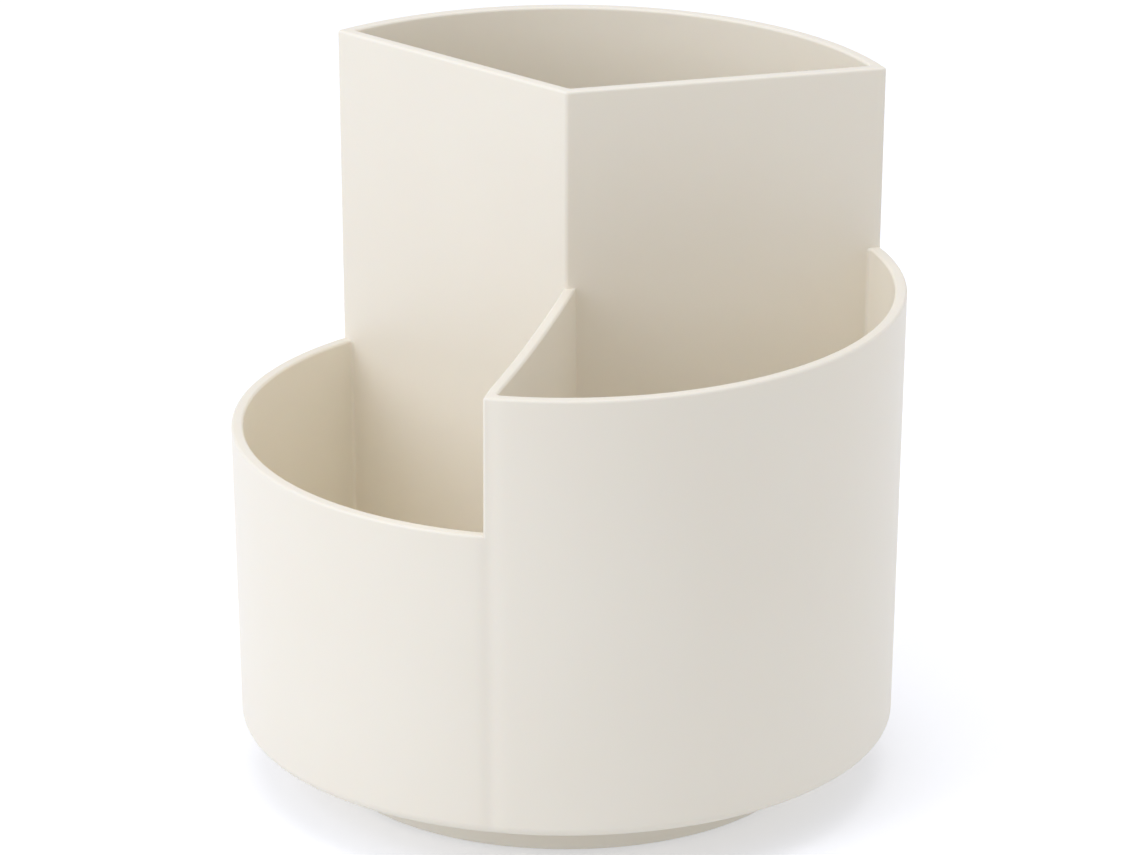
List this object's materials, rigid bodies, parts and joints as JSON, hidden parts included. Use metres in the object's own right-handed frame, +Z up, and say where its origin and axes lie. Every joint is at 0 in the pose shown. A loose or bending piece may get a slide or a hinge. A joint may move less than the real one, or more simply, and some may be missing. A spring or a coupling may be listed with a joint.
{
  "type": "swivel pen holder",
  "caption": "Round pen holder with stepped compartments for low, middle and tall items, that turns on a flat ball-bearing base.",
  "frame": {"origin": "on the spin axis, at the underside of the pads that the holder stands on", "axes": "+Z up along the spin axis; -Y to the front, where the low and the middle compartment lie; +Y to the tall compartment"},
  "size_m": [0.1235, 0.1247, 0.1281],
  "materials": {
    "cream_plastic": "satin moulded cream plastic",
    "white_nylon": "plain moulded nylon",
    "ball_steel": "polished bearing steel",
    "zinc_steel": "zinc-plated steel",
    "pad_rubber": "soft matte rubber"
  },
  "bodies": {
    "base": {"swivel_base": "cream_plastic", "anti_slip_pad_1": "pad_rubber", "anti_slip_pad_2": "pad_rubber", "anti_slip_pad_3": "pad_rubber", "anti_slip_pad_4": "pad_rubber"},
    "holder": {"holder_body": "cream_plastic", "pivot_screw": "zinc_steel", "pivot_washer": "zinc_steel"},
    "cage": {"ball_cage": "white_nylon", "bearing_ball_01": "ball_steel", "bearing_ball_02": "ball_steel", "bearing_ball_03": "ball_steel", "bearing_ball_04": "ball_steel", "bearing_ball_05": "ball_steel", "bearing_ball_06": "ball_steel", "bearing_ball_07": "ball_steel", "bearing_ball_08": "ball_steel", "bearing_ball_09": "ball_steel", "bearing_ball_10": "ball_steel", "bearing_ball_11": "ball_steel", "bearing_ball_12": "ball_steel"}
  },
  "joints": [
    {"name": "holder_spin", "type": "hinge", "parent": "base", "child": "holder", "pos_m": [0, 0, 0.0105], "axis": [0, 0, 1], "continuous": true},
    {"name": "cage_spin", "type": "hinge", "parent": "base", "child": "cage", "pos_m": [0, 0, 0.0105], "axis": [0, 0, 1], "continuous": true}
  ],
  "couplings": [
    {"joint": "cage_spin", "follows": "holder_spin", "ratio": 0.5}
  ]
}
